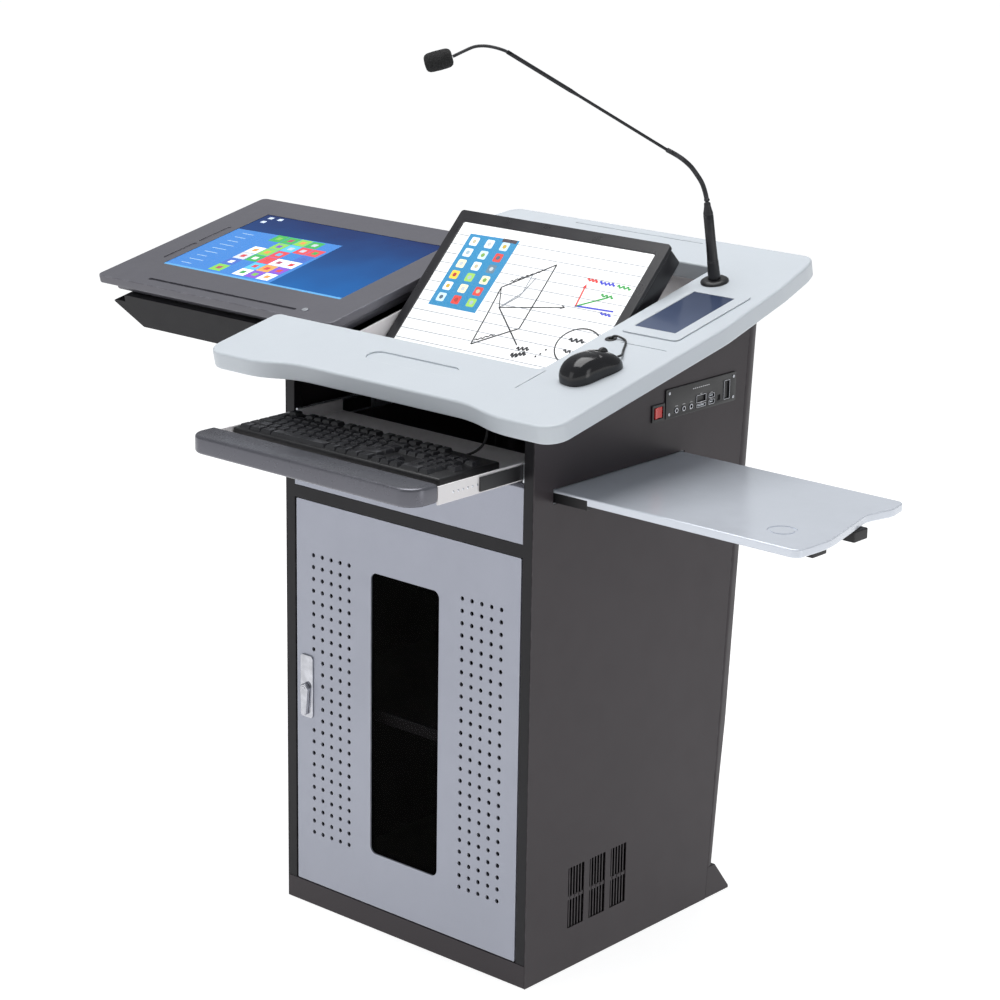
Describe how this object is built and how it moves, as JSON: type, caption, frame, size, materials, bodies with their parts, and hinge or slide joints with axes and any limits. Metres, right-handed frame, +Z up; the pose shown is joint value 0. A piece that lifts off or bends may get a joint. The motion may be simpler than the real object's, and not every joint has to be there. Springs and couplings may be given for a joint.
{
  "type": "lectern stand",
  "caption": "Floor-standing multimedia lectern: lockable cabinet, sloped top with a tilting display, sliding display, keyboard tray, side shelf and gooseneck microphone.",
  "frame": {"origin": "on the floor, at the middle of the cabinet's front face", "axes": "+Z up, +Y from the speaker towards the audience side, +X to the speaker's right"},
  "size_m": [1.5695, 0.8734, 1.4436],
  "materials": {
    "graphite_paint": "satin powder coat",
    "frame_paint": "satin powder coat",
    "silver_paint": "fine metallic powder coat",
    "desk_moulding": "smooth satin moulding",
    "well_paint": "matt pale paint",
    "window_pane": "smoked acrylic",
    "chrome_trim": "polished",
    "plain_steel": "zinc plated",
    "bullnose_plastic": "satin",
    "black_plastic": "fine texture",
    "shelf_paint": "satin moulding",
    "shelf_frame": "satin",
    "display_black": "fine texture",
    "display_panel": "lit screen",
    "console_plastic": "metallic satin",
    "red_plastic": "gloss",
    "mic_metal": "black satin",
    "mic_foam": "open-cell foam",
    "mouse_shell": "satin",
    "cord_sheath": "smooth sheath"
  },
  "bodies": {
    "root": {"base_plinth": "graphite_paint", "side_panel_left": "graphite_paint", "side_panel_right": "graphite_paint", "front_frame": "frame_paint", "upper_front_panel": "silver_paint", "rear_cover": "graphite_paint", "rear_foot": "graphite_paint", "inner_shelf": "frame_paint", "desktop": "desk_moulding", "monitor_well": "well_paint", "touch_bezel": "desk_moulding", "touch_screen": "display_panel", "io_panel": "black_plastic", "switch_housing": "black_plastic", "mic_socket_ring": "black_plastic", "mic_stem": "mic_metal", "cord_grommet": "black_plastic", "tray_slide_outer_left": "plain_steel", "tray_slide_outer_right": "plain_steel", "shelf_guide_front": "plain_steel", "shelf_guide_rear": "plain_steel", "monitor_bracket_left": "plain_steel", "monitor_bracket_right": "plain_steel", "console_support_box": "frame_paint", "keyboard_cord_upper": "cord_sheath", "mouse_cord_end": "cord_sheath", "door_hinge_lower": "plain_steel", "door_hinge_upper": "plain_steel"},
    "door": {"door_panel": "silver_paint", "door_window": "window_pane", "lock_escutcheon": "chrome_trim"},
    "lock": {"swing_handle": "chrome_trim", "lock_spindle_cam": "plain_steel"},
    "tray": {"tray_pan": "plain_steel", "tray_bullnose": "bullnose_plastic", "keyboard_case": "black_plastic", "keyboard_keys": "black_plastic", "keyboard_cord": "cord_sheath"},
    "tray_mid": {"tray_slide_mid_left": "plain_steel", "tray_slide_mid_right": "plain_steel"},
    "shelf": {"shelf_panel": "shelf_paint", "shelf_root_plate": "shelf_frame", "shelf_bar_front": "shelf_frame", "shelf_bar_rear": "shelf_frame"},
    "monitor": {"monitor_bezel": "display_black", "monitor_screen": "display_panel", "monitor_housing": "display_black", "monitor_hinge_pin": "plain_steel"},
    "console": {"console_frame": "console_plastic", "console_screen": "display_panel"},
    "console_button": {"console_button": "chrome_trim"},
    "rocker": {"power_rocker": "red_plastic"},
    "mic_boom": {"mic_gooseneck": "mic_metal", "mic_rod": "mic_metal"},
    "mic_head": {"mic_neck": "mic_metal", "mic_head": "mic_foam"},
    "mouse": {"mouse_body": "mouse_shell", "mouse_cord": "cord_sheath"},
    "mouse_wheel": {"mouse_wheel": "black_plastic"}
  },
  "joints": [
    {"name": "door_hinge", "type": "hinge", "parent": "root", "child": "door", "pos_m": [0.235, 0.0065, 0.374], "axis": [0, 0, 1], "range_deg": [0, 110]},
    {"name": "lock_turn", "type": "hinge", "parent": "door", "child": "lock", "pos_m": [-0.218, 0, 0.385], "axis": [0, -1, 0], "range_deg": [0, 90]},
    {"name": "tray_slide", "type": "slide", "parent": "root", "child": "tray", "axis": [0, 1, 0], "range_m": [0, 0.175]},
    {"name": "tray_mid_slide", "type": "slide", "parent": "root", "child": "tray_mid", "axis": [0, 1, 0], "range_m": [0, 0.0875]},
    {"name": "shelf_slide", "type": "slide", "parent": "root", "child": "shelf", "axis": [-1, 0, 0], "range_m": [0, 0.4]},
    {"name": "monitor_tilt", "type": "hinge", "parent": "root", "child": "monitor", "pos_m": [0, 0.232, 0.9095], "axis": [1, 0, 0], "range_deg": [-33.3, 0]},
    {"name": "console_slide", "type": "slide", "parent": "root", "child": "console", "axis": [1, 0, 0], "range_m": [0, 0.012]},
    {"name": "console_button_press", "type": "slide", "parent": "console", "child": "console_button", "axis": [0, 0.2079, -0.9781], "range_m": [0, 0.0012], "stiffness_N_per_m": 300, "springref_m": -0.0005},
    {"name": "power_rocker_tilt", "type": "hinge", "parent": "root", "child": "rocker", "pos_m": [0.258, 0.296, 0.886], "axis": [0, 0, 1], "range_deg": [-12, 0]},
    {"name": "mic_base_bend", "type": "hinge", "parent": "root", "child": "mic_boom", "pos_m": [0.235, 0.44573, 1.19838], "axis": [-0.7071, 0.7071, 0], "range_deg": [-25, 25]},
    {"name": "mic_knee_bend", "type": "hinge", "parent": "mic_boom", "child": "mic_head", "pos_m": [0.0112, 0.2219, 1.4295], "axis": [-0.7071, 0.7071, 0], "range_deg": [-35, 35]},
    {"name": "mouse_slide", "type": "slide", "parent": "root", "child": "mouse", "axis": [0, 0.9781, 0.2079], "range_m": [-0.02, 0.02]},
    {"name": "mouse_wheel_spin", "type": "hinge", "parent": "mouse", "child": "mouse_wheel", "pos_m": [0.29251, 0.12006, 1.01445], "axis": [0.9848, -0.1699, -0.0361], "continuous": true}
  ],
  "couplings": [
    {"joint": "tray_mid_slide", "follows": "tray_slide", "ratio": 0.5}
  ]
}
